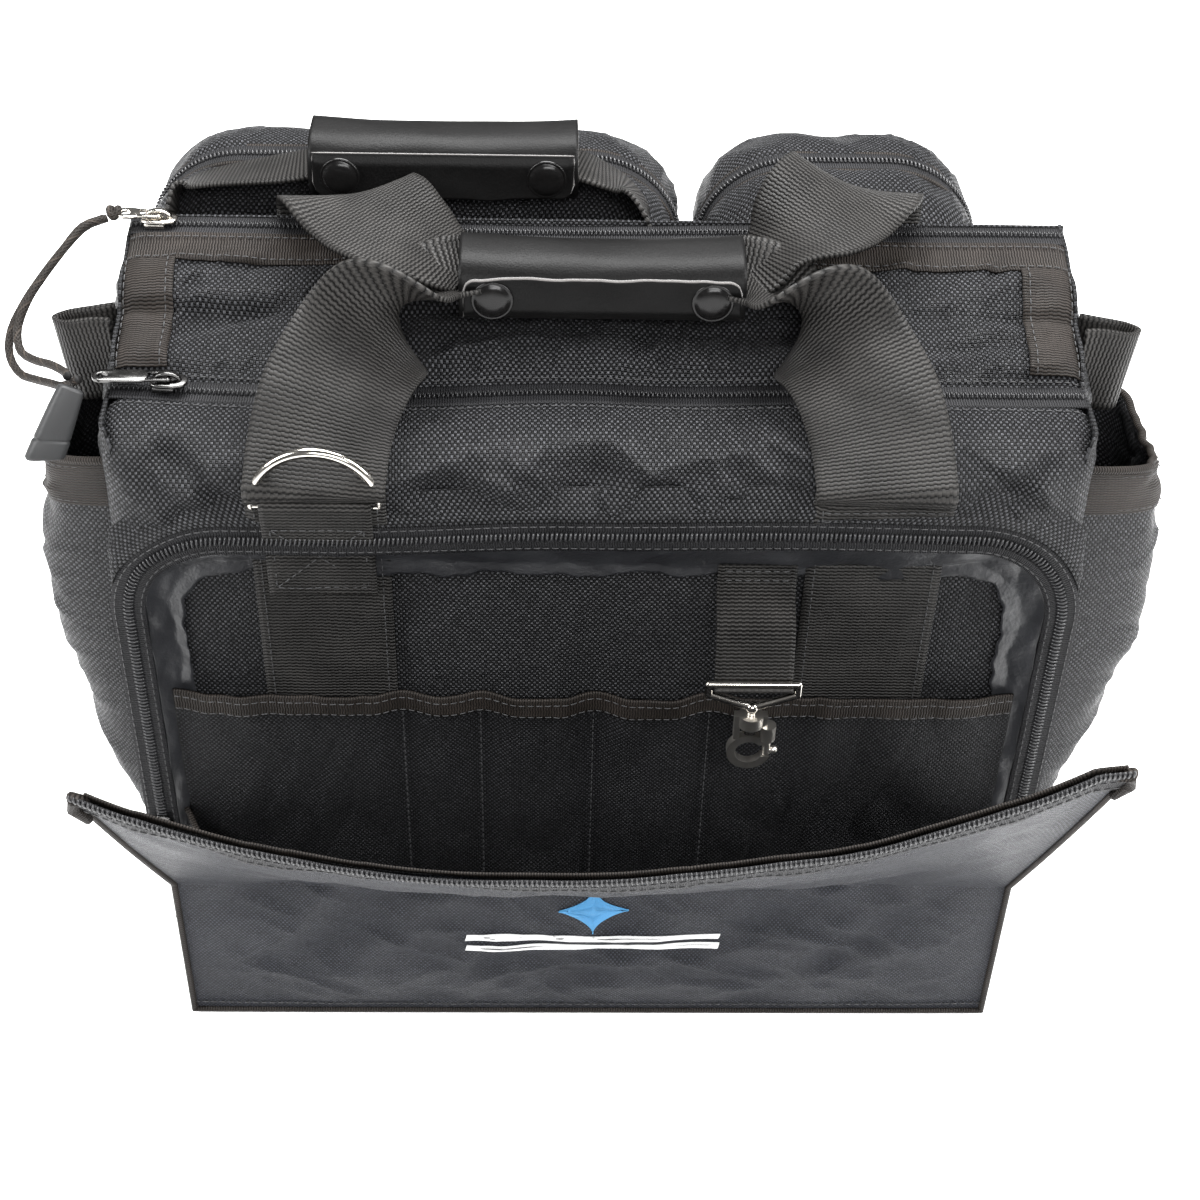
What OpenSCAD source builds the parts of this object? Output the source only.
// Pilot's flight bag: a soft carry-on bag with an open document pocket in front,
// two zipped compartments, two side pockets and two arched cases sewn on behind.
// +X is to the viewer's right, +Y to the back, +Z up. The origin is on the floor,
// under the middle of the main floor panel.

/* [Main body] */
// Width across the two side panels
body_w = 340; // [300:1:420]
// Depth of the floor panel, front edge to rear wall
body_d = 144; // [130:1:180]
// Height of the rear rim, where the main zip runs
rear_h = 272; // [262:1:330]
// Height of the front compartment's zip
front_h = 243; // [236:1:256]
// Depth of the document pocket at the floor
pocket_d = 46; // [42:1:56]
// Clear depth of the front compartment
compartment_d = 24; // [20:1:30]
// Thickness of a padded fabric wall
fabric_t = 2; // [1.6:0.1:2.4]
// Thickness of the stiff board on the floor panel
board_t = 3; // [2:0.5:5]
// Radius of the front compartment's soft top edge
shoulder_r = 20; // [14:1:22]

/* [Document pocket] */
// Width of the floor panel at the front edge
front_w = 310; // [280:1:312]
// Width of the pocket where it meets the front wall
pocket_back_w = 320; // [314:1:324]
// Height of the sewn lower part of the front panel
lower_h = 74; // [60:1:90]
// Height of the lower ends of the pocket mouth's zip
mouth_foot = 46; // [40:1:56]
// Height of the pocket mouth's zip
mouth_h = 206; // [196:1:210]
// Corner radius of the pocket mouth
mouth_r = 36; // [25:1:50]
// Height of the open flap's two top corners
flap_tip_h = 182; // [165:1:195]
// How far the top corners of the open flap lean out
flap_out = 58; // [45:1:70]
// How far the flap's top edge droops at its middle
flap_sag = 38; // [20:1:50]
// Height of the organizer panel
organizer_h = 134; // [110:1:145]
// Clear depth of the organizer's slots
slot_d = 5.2; // [4.6:0.1:6]

/* [Webbing and handles] */
// Width of the carry handle's webbing
web_w = 48; // [40:1:52]
// Thickness of the webbing
web_t = 1.6; // [1.2:0.1:2]
// Distance from the middle of the bag to each handle leg
leg_x = 97; // [92:1:102]
// Length of a leather grip
grip_l = 98; // [80:1:98]
// Depth of a leather grip, front to back
grip_d = 30; // [26:1:32]
// Height of a leather grip
grip_h = 22; // [20:1:24]
// Thickness of the leather
leather_t = 1.6; // [1.2:0.1:2]
// Diameter of a snap's cap
snap_d = 14.5; // [12:0.5:15]
// Width of the ring's keeper webbing
keeper_w = 38; // [30:1:40]
// Thickness of the ring's wire
ring_wire = 3.6; // [3:0.1:4]

/* [Side pockets] */
// How far a side pocket bulges out
side_out = 28; // [20:1:34]
// Height of a side pocket's mouth
side_h = 222; // [190:1:230]
// Depth of a side pocket, front to back
side_d = 68; // [56:1:72]

/* [Rear cases] */
// Width of the left case
case_left_w = 204; // [180:1:208]
// Width of the right case
case_right_w = 108; // [90:1:120]
// Height of the cases
case_h = 273; // [250:1:278]
// Depth of the cases
case_d = 88; // [76:1:100]
// Corner radius of a case's arch
case_r = 36; // [25:1:44]
// Thickness of a case's wall
case_t = 2.4; // [2:0.1:3]

/* [Zips] */
// Width of a zip's tape
tape_w = 12; // [10:1:14]
// Thickness of a zip's tape
tape_t = 1; // [0.8:0.1:1.2]
// Width of a zip's coil
coil_w = 3; // [2.4:0.1:3.4]
// Height of a zip's coil
coil_h = 1.6; // [1.2:0.1:1.8]
// Length of the pull tabs
tab_l = 26; // [20:1:28]

/* [Pull cord] */
// Diameter of the pull cord
cord_d = 3; // [2.5:0.1:3]

/* [Hidden] */
$fn = 48;

gap = 0.3;                                   // running clearance between bodies
half_w = body_w / 2;
front_y = -body_d / 2;
rear_y = body_d / 2;
wall_y = front_y + pocket_d;                 // front face of the front wall
zip_y = wall_y + fabric_t + compartment_d;   // middle of the front zip
inner_w = body_w - 2 * fabric_t;             // between the side panels
main_zip_y = rear_y - fabric_t - tape_w / 2;
strap_y = wall_y - web_t;                    // front face of the sewn straps
mouth_y = wall_y - 6;                        // middle of the pocket zip's tape
case_y0 = rear_y + 4;
case_y1 = case_y0 + case_d;
ridge_y = (case_y0 + case_y1) / 2;
case_left_x = -172;                          // left side of the left case
case_right_x = 40;                           // left side of the right case
case_z0 = 10;
grip_y = 28;                                 // middle of the carry handle's grip
grip_z = rear_h + 2;
case_grip_x = -57;                           // middle of the left case's grip
case_grip_y = case_y0 + 21;
case_grip_z = case_h + 11.5;
organizer_y = wall_y - slot_d;               // rear face of the organizer
leash_x = 56;                                // middle of the key leash
leash_w = 28;
eye_y = wall_y - 21;                         // the leash hook's hanging bar
eye_z = 152;
mouth_w = 332;                               // pocket zip, middle to middle of the coil
coil_top = tape_t / 2 + coil_h;              // above the middle of the tape

// The pull cord's two strands, laid by hand from the main zip's pull tab, out over
// the corner and round to the plastic end piece.
cord_points_a = [[-176, 60, 277], [-183, 55, 276], [-190, 47, 271], [-197, 40, 264],
  [-203, 33, 257], [-207, 26, 250], [-207, 20, 244], [-203, 15, 240], [-197, 10, 241],
  [-190, 3, 244], [-183, -5, 248], [-176, -9.7, 253.5]];
cord_points_b = [[-176, 56, 279], [-183, 51, 278], [-189, 43, 273], [-195, 36, 267],
  [-200, 29, 261], [-203, 22, 254], [-201, 14, 250], [-195, 8, 250], [-188, 2, 252],
  [-182, -4, 253], [-179.4, -10, 255]];
cord_end_top = [-178, -12, 252];
cord_end_tip = [-188, -24, 231];

// ---- helpers -------------------------------------------------------------------

// Extrudes a (y, z) outline along X, and an (x, z) outline along Y.
module along_x(x0, x1) translate([x0, 0, 0]) rotate([90, 0, 90])
  linear_extrude(x1 - x0) children();
module along_y(y0, y1) translate([0, y1, 0]) rotate([90, 0, 0])
  linear_extrude(y1 - y0) children();

// A box from its two corners.
module box(a, b) translate(a) cube(b - a);

// A line of points with a thickness, as one closed outline.
function _dir(p, i) = let (a = p[max(i - 1, 0)], b = p[min(i + 1, len(p) - 1)])
  (b - a) / norm(b - a);
function _side(p, i, d) = let (v = _dir(p, i)) p[i] + d * [-v[1], v[0]];
function shifted(p, d) = [for (i = [0 : len(p) - 1]) _side(p, i, d)];
function band(p, near, far) = concat(shifted(p, near),
  [for (i = [len(p) - 1 : -1 : 0]) _side(p, i, far)]);
function ribbon(p, t) = band(p, t / 2, -t / 2);
function arc(c, r, a0, a1, n = 8) = [for (i = [0 : n])
  let (a = a0 + (a1 - a0) * i / n) c + r * [cos(a), sin(a)]];
function round_rect(w, h, r) = concat(arc([w / 2 - r, h / 2 - r], r, 0, 90),
  arc([r - w / 2, h / 2 - r], r, 90, 180), arc([r - w / 2, r - h / 2], r, 180, 270),
  arc([w / 2 - r, r - h / 2], r, 270, 360));

// An arch from the left foot over the top to the right foot, in (x, z).
function arch(w, z0, top, r) = concat([[-w / 2, z0]],
  arc([r - w / 2, top - r], r, 180, 90), arc([w / 2 - r, top - r], r, 90, 0),
  [[w / 2, z0]]);

// A tube of a given radius along a list of 3-D points, closed at both ends.
function _tan(p, i) = let (v = p[min(i + 1, len(p) - 1)] - p[max(i - 1, 0)]) v / norm(v);
module tube(p, r, sides) {
  up = [0.13, 0.21, 0.97];
  rings = [for (i = [0 : len(p) - 1]) let (t = _tan(p, i), c = cross(t, up),
    u = c / norm(c), v = cross(u, t)) for (k = [0 : sides - 1])
    p[i] + r * (cos(360 * k / sides) * u + sin(360 * k / sides) * v)];
  n = len(p) * sides;
  polyhedron(rings, concat([[for (k = [0 : sides - 1]) k]],
    [[for (k = [sides - 1 : -1 : 0]) n - sides + k]],
    [for (i = [0 : len(p) - 2]) for (k = [0 : sides - 1]) let (j = (k + 1) % sides)
      let (a = i * sides, b = a + sides)
      for (f = [[a + j, a + k, b + k], [a + j, b + k, b + j]]) f]), 10);
}

// ---- outlines in (y, z) --------------------------------------------------------

front_line = concat([[wall_y + fabric_t / 2, fabric_t]],
  arc([wall_y + fabric_t / 2 + shoulder_r, front_h - shoulder_r], shoulder_r, 180, 100),
  [[zip_y - tape_w / 2, front_h]]);
top_line = [[zip_y + tape_w / 2, front_h], [zip_y + tape_w / 2 + 1, front_h],
  [zip_y + 20, front_h + 6], [rear_y - 36, (front_h + rear_h) / 2 + 2],
  [rear_y - 24, rear_h - 5], [main_zip_y - tape_w / 2 - 1, rear_h],
  [main_zip_y - tape_w / 2, rear_h]];
side_outline = concat([[rear_y, fabric_t], [wall_y, fabric_t]],
  shifted([for (i = [1 : len(front_line) - 1]) front_line[i]], fabric_t / 2),
  shifted(top_line, fabric_t / 2), [[rear_y, rear_h + fabric_t / 2]]);

// ---- main body -----------------------------------------------------------------

module base_panel() color("#1c1d20") linear_extrude(fabric_t)
  polygon([[-front_w / 2, front_y], [front_w / 2, front_y],
    [pocket_back_w / 2, wall_y], [half_w, wall_y], [half_w, rear_y],
    [-half_w, rear_y], [-half_w, wall_y], [-pocket_back_w / 2, wall_y]]);

module base_board() color("#2a2a2c")
  box([-inner_w / 2 + 2, zip_y + fabric_t / 2 + 1, fabric_t],
    [inner_w / 2 - 2, rear_y - fabric_t - 1, fabric_t + board_t]);

module front_wall() color("#202226") along_x(-inner_w / 2, inner_w / 2)
  polygon(ribbon(front_line, fabric_t));

module divider_wall() color("#17181a") box([-inner_w / 2, zip_y - fabric_t / 2, fabric_t],
  [inner_w / 2, zip_y + fabric_t / 2, front_h - tape_t / 2]);

module top_panel() color("#202226") along_x(-inner_w / 2, inner_w / 2)
  polygon(ribbon(top_line, fabric_t));

// The rear wall, with the seams that the two cases are sewn on by.
module rear_wall() color("#202226") {
  seam_w = 12;
  box([-inner_w / 2, rear_y - fabric_t, fabric_t],
    [inner_w / 2, rear_y, rear_h + fabric_t / 2]);
  for (x = [case_left_x + 6, case_left_x + case_left_w - seam_w - 6, case_right_x + 6,
    case_right_x + case_right_w - seam_w - 6])
    box([x, rear_y, case_z0 + 6], [x + seam_w, case_y0, case_h - case_front_r - 6]);
}

module side_panel(side) along_x(side > 0 ? inner_w / 2 : -half_w,
  side > 0 ? half_w : -inner_w / 2) polygon(side_outline);
module side_panel_left() color("#202226") side_panel(-1);
module side_panel_right() color("#202226") side_panel(1);

// The bound edges: one tape along the rim and one down each side of the top panel.
module rim_binding() color("#2b2622") {
  binding_t = 0.8;
  binding_w = 20;
  rim = [for (i = [4 : 6]) top_line[i]];
  sides = [for (i = [1 : 3]) top_line[i]];
  along_x(-inner_w / 2, inner_w / 2)
    polygon(band(rim, fabric_t / 2, fabric_t / 2 + binding_t));
  for (s = [-1, 1]) along_x(s > 0 ? half_w - binding_w : -half_w,
    s > 0 ? half_w : binding_w - half_w)
    polygon(band(sides, fabric_t / 2, fabric_t / 2 + binding_t));
}

// A straight closed zip along X: its tape, and the coil standing on it.
module zip(y, z, l) {
  box([-l / 2, y - tape_w / 2, z - tape_t / 2], [l / 2, y + tape_w / 2, z + tape_t / 2]);
  box([-l / 2, y - coil_w / 2, z + tape_t / 2], [l / 2, y + coil_w / 2, z + coil_top]);
}
module main_zip() color("#26272a") zip(main_zip_y, rear_h, inner_w);
module front_zip() color("#26272a") zip(zip_y, front_h, inner_w);

// ---- sewn webbing --------------------------------------------------------------

module handle_strap(side) box([side * leg_x - web_w / 2, strap_y, 10],
  [side * leg_x + web_w / 2, wall_y, front_h - shoulder_r]);
module handle_strap_left() color("#1a1a1b") handle_strap(-1);
module handle_strap_right() color("#1a1a1b") handle_strap(1);

rear_leg_line = [[rear_y + web_t / 2, 60], [rear_y + web_t / 2, rear_h + 1.4],
  [rear_y - 2, rear_h + 6], [rear_y - 6.5, rear_h + 9.8], [rear_y - 14, rear_h + 10.5],
  [grip_y + grip_d / 2 + 4, rear_h + 5]];
module rear_handle(side) along_x(side * (leg_x - 4) - web_w / 2,
  side * (leg_x - 4) + web_w / 2) polygon(ribbon(rear_leg_line, web_t));
module rear_handle_left() color("#1a1a1b") rear_handle(-1);
module rear_handle_right() color("#1a1a1b") rear_handle(1);

// The ring's keeper: a webbing patch on the left strap with a sewn loop at its top.
keeper_z = front_h - shoulder_r - 5;
loop_in = ring_wire / 2 + 0.4;
loop_out = loop_in + web_t;
ring_y = strap_y - loop_out;
module ring_keeper() color("#1a1a1b") difference() {
  union() {
    box([-leg_x - keeper_w / 2, strap_y - web_t, keeper_z - 40],
      [-leg_x + keeper_w / 2, strap_y, keeper_z]);
    translate([-leg_x - keeper_w / 2, ring_y, keeper_z]) rotate([0, 90, 0])
      cylinder(h = keeper_w, r = loop_out);
  }
  translate([-leg_x - keeper_w / 2 - 1, ring_y, keeper_z]) rotate([0, 90, 0])
    cylinder(h = keeper_w + 2, r = loop_in);
}

// The ring: a straight bar in the keeper and a half circle standing above it.
module carry_ring() color("#c9c2b8") translate([-leg_x, ring_y, keeper_z]) {
  ring_r = keeper_w / 2 + 2.5;
  rotate([0, 90, 0]) cylinder(h = 2 * ring_r, r = ring_wire / 2, center = true);
  rotate([90, 0, 0]) rotate_extrude(angle = 180) translate([ring_r, 0])
    circle(r = ring_wire / 2);
  for (s = [-1, 1]) translate([s * ring_r, 0, 0]) sphere(r = ring_wire / 2);
}

// ---- side pockets and loops ----------------------------------------------------

side_y0 = wall_y + 14;
side_y1 = side_y0 + side_d;
side_line = [[half_w, 26], [half_w + side_out * 0.62, 60], [half_w + side_out - 1, 120],
  [half_w + side_out, 170], [half_w + side_out * 0.82, side_h]];
module side_pocket() {
  wall = [for (i = [0 : len(side_line) - 1]) side_line[i] + [i == 0 ? 1 : 0, 0]];
  along_y(side_y0, side_y1) polygon(ribbon(wall, fabric_t));
  for (y = [side_y0, side_y1 - fabric_t]) along_y(y, y + fabric_t)
    polygon(concat(wall, [[half_w, side_h]], [[half_w, 26]]));
}
module side_pocket_left() color("#202226") mirror([1, 0, 0]) side_pocket();
module side_pocket_right() color("#202226") side_pocket();

// A flat webbing loop on each side for a shoulder strap.
loop_z = 226;
module side_loop() {
  loop_y = zip_y + 28;
  line = concat([[half_w, loop_y - 5]], [[half_w + 14, loop_y - 4]],
    arc([half_w + 16, loop_y], 4, -80, 80), [[half_w + 14, loop_y + 4]],
    [[half_w, loop_y + 5]]);
  translate([0, 0, loop_z]) linear_extrude(32) polygon(ribbon(line, web_t));
}
module side_loop_left() color("#1a1a1b") mirror([1, 0, 0]) side_loop();
module side_loop_right() color("#1a1a1b") side_loop();

// ---- document pocket -----------------------------------------------------------

module pocket_front_panel() color("#25282d")
  box([-front_w / 2, front_y, fabric_t], [front_w / 2, front_y + fabric_t, lower_h]);

module pocket_gusset() linear_extrude(lower_h - fabric_t) polygon(
  [[front_w / 2, front_y + fabric_t], [pocket_back_w / 2, wall_y],
   [pocket_back_w / 2 - fabric_t, wall_y], [front_w / 2 - fabric_t, front_y + fabric_t]]);
module pocket_gusset_right() color("#202226") translate([0, 0, fabric_t]) pocket_gusset();
module pocket_gusset_left() color("#202226") translate([0, 0, fabric_t])
  mirror([1, 0, 0]) pocket_gusset();

mouth_line = arch(mouth_w, mouth_foot, mouth_h, mouth_r);
module pocket_zip() color("#26272a") {
  along_y(mouth_y - tape_t / 2, mouth_y + tape_t / 2)
    polygon(band(mouth_line, tape_w / 2, -tape_w / 2));
  along_y(mouth_y - coil_top, mouth_y - tape_t / 2) polygon(ribbon(mouth_line, coil_w));
}

// The coated strip that carries the pocket zip off the front wall. It is notched
// round the two handle straps and the ring's keeper.
module pocket_lining() color("#3a3b3e") difference() {
  along_y(mouth_y + tape_t / 2, wall_y) polygon(band(mouth_line, 3, 1.8));
  for (s = [-1, 1]) box([s * leg_x - web_w / 2, strap_y, mouth_h - 9],
    [s * leg_x + web_w / 2, wall_y + 1, mouth_h + 9]);
  box([-leg_x - keeper_w / 2, strap_y - web_t, mouth_h - 9],
    [-leg_x + keeper_w / 2, strap_y + 1, mouth_h + 9]);
}

slot_seams = [-71, -42, 0, 43];
module organizer_panel() color("#1b1c1f") {
  panel_w = pocket_back_w - 2 * fabric_t - 4;
  panel_t = 1.5;
  box([-panel_w / 2, organizer_y - panel_t, 6], [panel_w / 2, organizer_y, organizer_h]);
  box([-panel_w / 2, organizer_y - panel_t - 1, organizer_h - 8],
    [panel_w / 2, organizer_y - panel_t, organizer_h]);
  for (x = slot_seams) box([x - 0.6, organizer_y, 12], [x + 0.6, wall_y, organizer_h - 4]);
  for (s = [-1, 1]) box([s * (panel_w / 2 - 0.75) - 0.75, organizer_y, 6],
    [s * (panel_w / 2 - 0.75) + 0.75, wall_y, organizer_h]);
}

// ---- key leash -----------------------------------------------------------------

eye_wire = 1.5;
eye_loop_in = eye_wire + 0.4;
module leash_webbing() color("#1a1a1b") {
  leash_t = 1.4;
  line = [[wall_y - leash_t / 2, 192], [wall_y - leash_t / 2 - 0.6, 187],
    [eye_y + 1.8, eye_z + 2.2]];
  difference() {
    union() {
      along_x(leash_x - leash_w / 2, leash_x + leash_w / 2) polygon(ribbon(line, leash_t));
      translate([leash_x - leash_w / 2, eye_y, eye_z]) rotate([0, 90, 0])
        cylinder(h = leash_w, r = eye_loop_in + leash_t);
    }
    translate([leash_x - leash_w / 2 - 1, eye_y, eye_z]) rotate([0, 90, 0])
      cylinder(h = leash_w + 2, r = eye_loop_in);
  }
}

pin_r = 1.62;
module hook_eye() color("#6a6a6c") translate([leash_x, eye_y, eye_z]) {
  half_bar = leash_w / 2 + 2;
  drop = 11;
  bend = 4.6;
  rotate([0, 90, 0]) cylinder(h = 2 * half_bar, r = eye_wire, center = true);
  for (s = [-1, 1]) translate([s * half_bar, 0, 0]) {
    sphere(r = eye_wire);
    translate([0, 0, -bend]) cylinder(h = bend, r = eye_wire);
    translate([0, 0, -bend]) sphere(r = eye_wire);
    translate([0, 0, -bend]) rotate([0, s * (atan2(half_bar, drop - bend) - 180), 0])
      cylinder(h = norm([half_bar, drop - bend]), r = eye_wire);
  }
  translate([0, 0, -drop]) sphere(r = 2.4);
  translate([0, 0, -22]) cylinder(h = 22 - drop, r = pin_r);
  translate([0, 0, -22]) cylinder(h = 2.6, r = 3);
}

hook_t = 3.4;
bolt_x = leash_x + 6.6;
module hook_body() color("#3c3c3f") {
  ring_z = eye_z - 31.6;
  difference() {
    union() {
      translate([leash_x, eye_y, eye_z - 19]) cylinder(h = 5, r = 4.6);
      for (s = [-1, 1]) translate([leash_x + s * 4.9, eye_y, eye_z - 19.5])
        cube([2.2, hook_t, 11], center = true);
      along_y(eye_y - hook_t / 2, eye_y + hook_t / 2) translate([leash_x, ring_z])
        difference() {
          circle(r = 8);
          circle(r = 5);
          translate([0, -2]) square([12, 5.5]);
        }
      translate([bolt_x, eye_y, ring_z + 5.6]) cylinder(h = 6.6, r = 2.9);
    }
    translate([leash_x, eye_y, eye_z - 20]) cylinder(h = 8, r = pin_r + 0.08);
    translate([leash_x, eye_y, eye_z - 23.2]) cylinder(h = 4.2, r = 3.3);
    translate([bolt_x, eye_y, ring_z + 1]) cylinder(h = 10, r = 1.6);
  }
}

module hook_gate() color("#8a8a8c") translate([bolt_x, eye_y, eye_z - 31.6]) {
  translate([0, 0, -1.6]) cylinder(h = 9, r = 1.5);
  rotate([0, 90, 0]) cylinder(h = 3, r = 1.2);
  translate([2.6, 0, 0]) sphere(r = 1.6);
}

// ---- carry handle --------------------------------------------------------------

// One leg: free of the bag above the sewn strap, over the shoulder and in to the grip.
module handle_leg(side) {
  foot = [leg_x, wall_y - web_t - 0.8, front_h - shoulder_r + 4];
  knee = [leg_x - 6, wall_y + 5, front_h + 4];
  wrist = [leg_x - 26, grip_y - 2, grip_z + 1];
  t = [web_w, web_t, web_t];
  mirror([side < 0 ? 1 : 0, 0, 0]) {
    hull() {
      translate(foot) cube(t, center = true);
      translate(knee) cube(t, center = true);
    }
    hull() {
      translate(knee) cube(t, center = true);
      translate(wrist) cube([web_w - 6, web_t, web_t], center = true);
    }
  }
}
core_w = 20;
core_h = 8;
module front_handle() color("#1a1a1b") {
  handle_leg(-1);
  handle_leg(1);
  translate([0, grip_y, grip_z]) cube([2 * (leg_x - 46), core_w, core_h], center = true);
}

// The leather wrap, a closed sleeve round the webbing, and its overlapping flap.
module wrap(c) along_x(c[0] - grip_l / 2, c[0] + grip_l / 2) translate([c[1], c[2]])
  difference() {
    polygon(round_rect(grip_d, grip_h, 9));
    polygon(round_rect(grip_d - 2 * leather_t, grip_h - 2 * leather_t, 9 - leather_t));
  }
module grip_wrap() color("#1f1e1d") wrap([0, grip_y, grip_z]);
module case_grip_wrap() color("#1f1e1d") wrap([case_grip_x, case_grip_y, case_grip_z]);

// A flap in front of a wrap, from z0 to z1, with rounded free corners.
flap_l = grip_l - 3;
flap_h = 16;
module leather_flap(c) translate([c[0], 0, c[2]])
  along_y(c[1] - grip_d / 2 - gap - leather_t, c[1] - grip_d / 2 - gap)
  polygon(round_rect(flap_l, flap_h, 6));
module grip_flap() color("#171615") leather_flap([0, grip_y, grip_z]);
module case_grip_flap() color("#1f1e1d") leather_flap([case_grip_x, case_grip_y,
  case_grip_z]);

// Two domed snap caps on a flap.
module snaps(c) {
  face = c[1] - grip_d / 2 - gap - leather_t;
  for (s = [-1, 1]) translate([c[0] + s * (flap_l / 2 - 10), face, c[2]])
    rotate([90, 0, 0]) {
      cylinder(h = 1, r = snap_d / 2);
      translate([0, 0, 1]) intersection() {
        translate([0, 0, -20]) sphere(r = 21.2, $fn = 64);
        cylinder(h = 3, r = snap_d / 2 - 0.6);
      }
    }
}
module grip_snaps() color("#2a2726") snaps([0, grip_y, grip_z]);
module case_grip_snaps() color("#2a2726") snaps([case_grip_x, case_grip_y, case_grip_z]);

// ---- rear cases ----------------------------------------------------------------

// The case's solid shape: an arch from the front, rounded over from the side.
case_front_r = 36;
case_back_r = 26;
module case_form(x0, w, inset) {
  intersection() {
    along_y(case_y0 + inset, case_y1 - inset) translate([x0 + w / 2, 0])
      polygon(arch(w - 2 * inset, case_z0 + inset, case_h - inset, case_r - inset));
    along_x(x0 + inset, x0 + w - inset) polygon(concat(
      [[case_y1 - inset, case_z0 + inset], [case_y0 + inset, case_z0 + inset]],
      arc([case_y0 + case_front_r, case_h - case_front_r], case_front_r - inset, 180, 90),
      arc([case_y1 - case_back_r, case_h - case_back_r], case_back_r - inset, 90, 0)));
  }
}
module case_shell(x0, w) difference() {
  case_form(x0, w, 0);
  case_form(x0, w, case_t);
}
module case_part(x0, w, y0, y1) intersection() {
  case_shell(x0, w);
  box([x0 - 1, y0, 0], [x0 + w + 1, y1, case_h + 1]);
}
// The zip's tape closes the ridge between the two halves; the coil stands on it.
module case_zip(x0, w) {
  case_part(x0, w, ridge_y - tape_w / 2, ridge_y + tape_w / 2);
  translate([x0 + w / 2, 0]) along_y(ridge_y - coil_w / 2, ridge_y + coil_w / 2)
    difference() {
      polygon(arch(w + 2 * coil_h, case_z0 + 30, case_h + coil_h, case_r + coil_h));
      polygon(arch(w, case_z0 + 29, case_h, case_r));
    }
}
module case_left_front() color("#202226") case_part(case_left_x, case_left_w,
  case_y0, ridge_y - tape_w / 2);
module case_left_back() color("#202226") case_part(case_left_x, case_left_w,
  ridge_y + tape_w / 2, case_y1);
module case_left_zip() color("#26272a") case_zip(case_left_x, case_left_w);
module case_right_front() color("#202226") case_part(case_right_x, case_right_w,
  case_y0, ridge_y - tape_w / 2);
module case_right_back() color("#202226") case_part(case_right_x, case_right_w,
  ridge_y + tape_w / 2, case_y1);
module case_right_zip() color("#26272a") case_zip(case_right_x, case_right_w);

// The left case's own handle: webbing over the front shoulder and through the grip.
module case_handle() color("#1a1a1b") {
  ends = [[case_left_x + 8, case_grip_x - grip_l / 2 - 1],
    [case_grip_x + grip_l / 2 + 1, case_left_x + case_left_w - 8]];
  line = concat(arc([case_y0 + case_front_r, case_h - case_front_r],
    case_front_r + 2.6, 160, 122, 4), [[case_grip_y + 4, case_grip_z]]);
  for (e = ends) along_x(e[0], e[1]) polygon(ribbon(line, web_t));
  translate([case_grip_x, case_grip_y, case_grip_z])
    cube([grip_l + 2, core_w, core_h], center = true);
}

// ---- zip sliders ---------------------------------------------------------------

// A slider standing on a coil that runs along X; z = 0 is the middle of the tape.
slider_l = 13;
slider_w = 9;
shell_z = coil_top + gap;
pivot_z = shell_z + 2.5;
module slider() {
  box([-slider_l / 2, -slider_w / 2, shell_z], [slider_l / 2, slider_w / 2, shell_z + 1.3]);
  for (s = [-1, 1]) box([-slider_l / 2, s > 0 ? coil_w / 2 + 1 : -slider_w / 2, tape_t],
    [slider_l / 2, s > 0 ? slider_w / 2 : -coil_w / 2 - 1, shell_z]);
  for (x = [-5.4, 3.4]) box([x, -1.2, shell_z + 1.3], [x + 2, 1.2, shell_z + 4.6]);
  box([-3.4, -1.2, shell_z + 3.4], [3.4, 1.2, shell_z + 4.6]);
}
// The pull tab: a cross pin under the slider's bridge, two arms and a flat plate.
module pull_tab(l) translate([0, 0, pivot_z]) {
  rotate([90, 0, 0]) cylinder(h = 5.6, r = 0.7, center = true);
  for (s = [-1, 1]) box([-9, s > 0 ? 1.6 : -2.8, -0.6], [0.7, s > 0 ? 2.8 : -1.6, 0.6]);
  difference() {
    box([-l, -3.6, -0.6], [-8, 3.6, 0.6]);
    translate([4 - l, 0, -2]) cylinder(h = 4, r = 1.9);
  }
}
main_slider_x = -158;
front_slider_x = -148;
module on_main_zip() translate([main_slider_x, main_zip_y, rear_h]) children();
module on_front_zip() translate([front_slider_x, zip_y, front_h]) children();
// Places a slider on an upright leg of the pocket zip, its tab hanging down.
pocket_slider_z = mouth_foot + 20;
module on_pocket_zip(side) translate([side * mouth_w / 2, mouth_y, pocket_slider_z])
  rotate([0, -90, 0]) rotate([90, 0, 0]) children();

module main_slider() color("#b9b6b0") on_main_zip() slider();
module main_pull_tab() color("#b9b6b0") on_main_zip() pull_tab(15.5);
module front_slider() color("#3f3e3c") on_front_zip() slider();
module front_pull_tab() color("#3f3e3c") on_front_zip() pull_tab(tab_l);
module pocket_slider_left() color("#4a4947") on_pocket_zip(-1) slider();
module pocket_pull_left() color("#4a4947") on_pocket_zip(-1) pull_tab(tab_l);
module pocket_slider_right() color("#4a4947") on_pocket_zip(1) slider();
module pocket_pull_right() color("#4a4947") on_pocket_zip(1) pull_tab(tab_l);

// A case's slider with its tab folded down, on the outer leg of the case's zip.
module case_slider(x, side) translate([x, ridge_y, 96]) mirror([side < 0 ? 1 : 0, 0, 0])
  rotate([0, 90, 0]) rotate([0, 0, 180]) {
  translate([0, 0, -tape_t / 2]) slider();
  translate([0, 0, pivot_z - tape_t / 2]) box([3.4, -3.6, 2.2], [20, 3.6, 3.4]);
  translate([0, 0, pivot_z - tape_t / 2]) box([3.4, -1.2, 1], [5.4, 1.2, 2.2]);
}
module case_left_slider() color("#3f3e3c") case_slider(case_left_x, -1);
module case_right_slider() color("#3f3e3c")
  case_slider(case_right_x + case_right_w, 1);

// ---- pull cord -----------------------------------------------------------------

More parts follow.
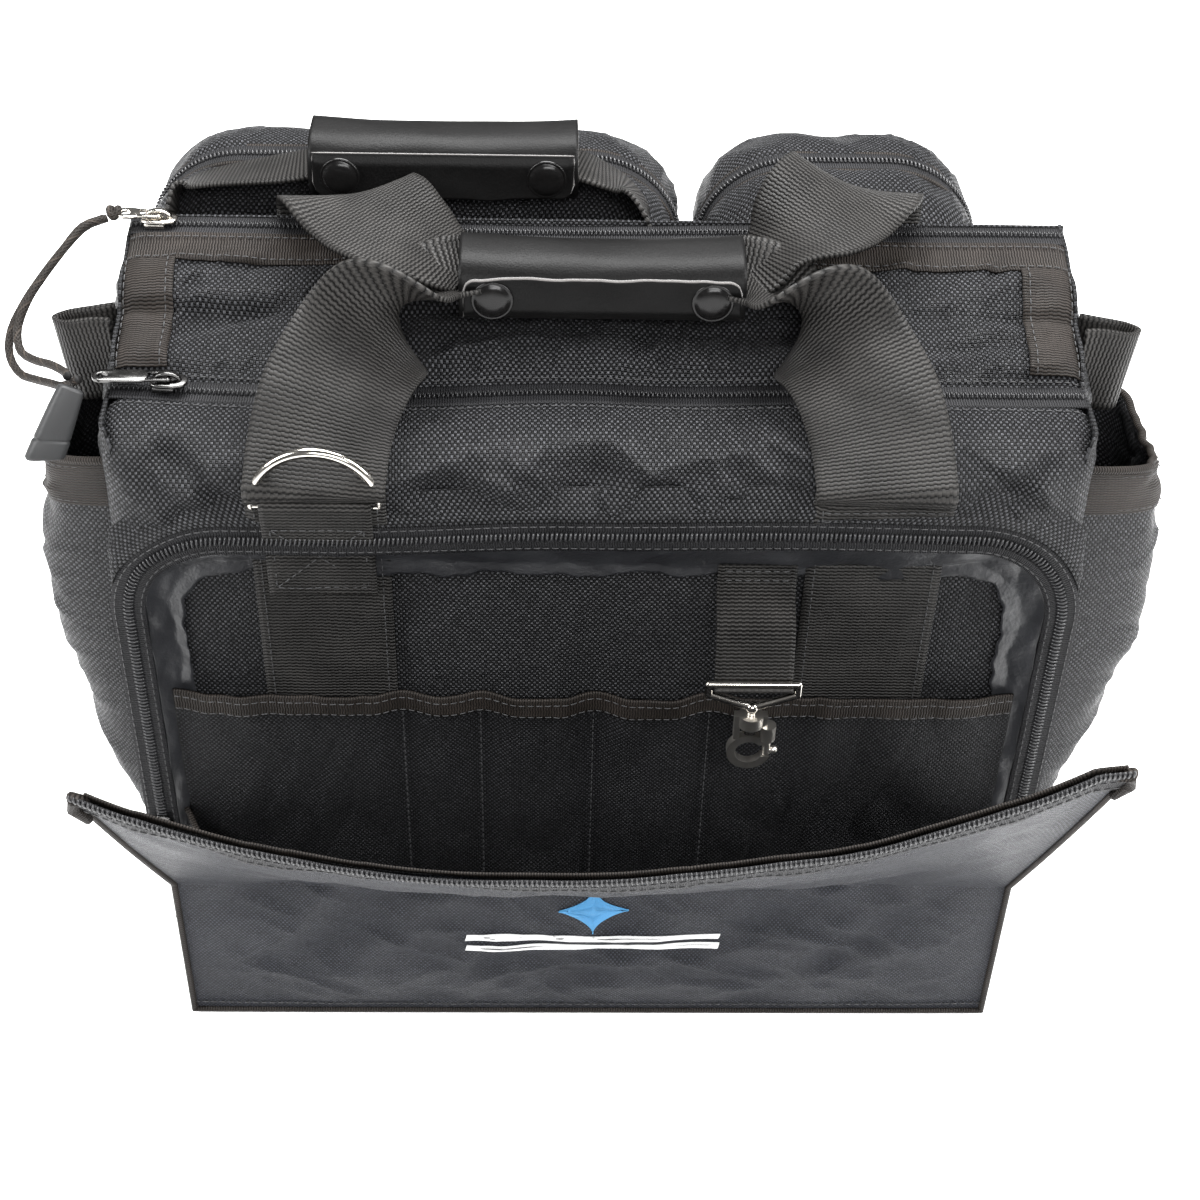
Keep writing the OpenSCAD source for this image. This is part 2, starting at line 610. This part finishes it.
module pull_cord_a() color("#2b241d") tube(cord_points_a, cord_d / 2, 8);
module pull_cord_b() color("#2b241d") tube(cord_points_b, cord_d / 2, 8);

// The moulded end piece, a flat tapered block with a slanting tip.
module cord_end() color("#6d6e70") {
  axis = cord_end_tip - cord_end_top;
  l = norm(axis);
  translate(cord_end_top) rotate([0, acos(axis[2] / l), atan2(axis[1], axis[0])])
    rotate([0, 0, 50]) translate([-6, -3.5, 0]) {
      difference() {
        cube([12, 7, l]);
        translate([-1, -1, l]) rotate([0, 25, 0]) cube([20, 9, 10]);
      }
    }
}

// ---- open flap -----------------------------------------------------------------

// The flap as a curved sheet: u runs from -1 to 1 across it, w from 0 to 1 up it.
flap_w0 = front_w;
flap_w1 = mouth_w + 4;
flap_foot_z = lower_h + 0.6;
function flap_point(u, w) = let (s = 1 - u * u,
  top = [u * flap_w1 / 2, front_y - flap_out - 4 * s, flap_tip_h - flap_sag * s],
  foot = [u * flap_w0 / 2, front_y + 1, flap_foot_z])
  foot + w * (top - foot) + [0, -2.5 * sin(180 * w) * (0.4 + s), 0];
// A closed sheet between two distances in front of the flap's middle surface.
module flap_sheet(w0, w1, nw, t0, t1) {
  nu = 24;
  lean = [0, -0.85, 0.5];
  m = nw + 1;
  function at(i, j, t) = flap_point(2 * i / nu - 1, w0 + (w1 - w0) * j / nw) + t * lean;
  pts = concat([for (i = [0 : nu]) for (j = [0 : nw]) at(i, j, t0)],
    [for (i = [0 : nu]) for (j = [0 : nw]) at(i, j, t1)]);
  n = (nu + 1) * m;
  polyhedron(pts, concat(
    [for (i = [0 : nu - 1]) for (j = [0 : nw - 1])
      [i * m + j, i * m + j + 1, (i + 1) * m + j + 1, (i + 1) * m + j]],
    [for (i = [0 : nu - 1]) for (j = [0 : nw - 1])
      [n + i * m + j, n + (i + 1) * m + j, n + (i + 1) * m + j + 1, n + i * m + j + 1]],
    [for (i = [0 : nu - 1]) [i * m, (i + 1) * m, n + (i + 1) * m, n + i * m]],
    [for (i = [0 : nu - 1]) [(i + 1) * m + nw, i * m + nw, n + i * m + nw,
      n + (i + 1) * m + nw]],
    [for (j = [0 : nw - 1]) [j + 1, j, n + j, n + j + 1]],
    [for (j = [0 : nw - 1]) [nu * m + j, nu * m + j + 1, n + nu * m + j + 1,
      n + nu * m + j]]), 10);
}
module front_flap() color("#2b2f35") flap_sheet(0, 0.93, 6, 0, fabric_t);
module flap_zip() color("#26272a") flap_sheet(0.93, 1, 1, -0.6, fabric_t + 0.6);

base_panel();
base_board();
front_wall();
divider_wall();
top_panel();
rear_wall();
side_panel_left();
side_panel_right();
rim_binding();
main_zip();
front_zip();
handle_strap_left();
handle_strap_right();
rear_handle_left();
rear_handle_right();
ring_keeper();
side_pocket_left();
side_pocket_right();
side_loop_left();
side_loop_right();
pocket_front_panel();
pocket_gusset_left();
pocket_gusset_right();
pocket_zip();
pocket_lining();
organizer_panel();
leash_webbing();
case_left_front();
case_left_back();
case_left_zip();
case_right_front();
case_right_back();
case_right_zip();
front_handle();
grip_wrap();
grip_flap();
grip_snaps();
case_handle();
case_grip_wrap();
case_grip_flap();
case_grip_snaps();
carry_ring();
main_slider();
main_pull_tab();
pull_cord_a();
pull_cord_b();
cord_end();
front_slider();
front_pull_tab();
pocket_slider_left();
pocket_pull_left();
pocket_slider_right();
pocket_pull_right();
case_left_slider();
case_right_slider();
front_flap();
flap_zip();
hook_eye();
hook_body();
hook_gate();
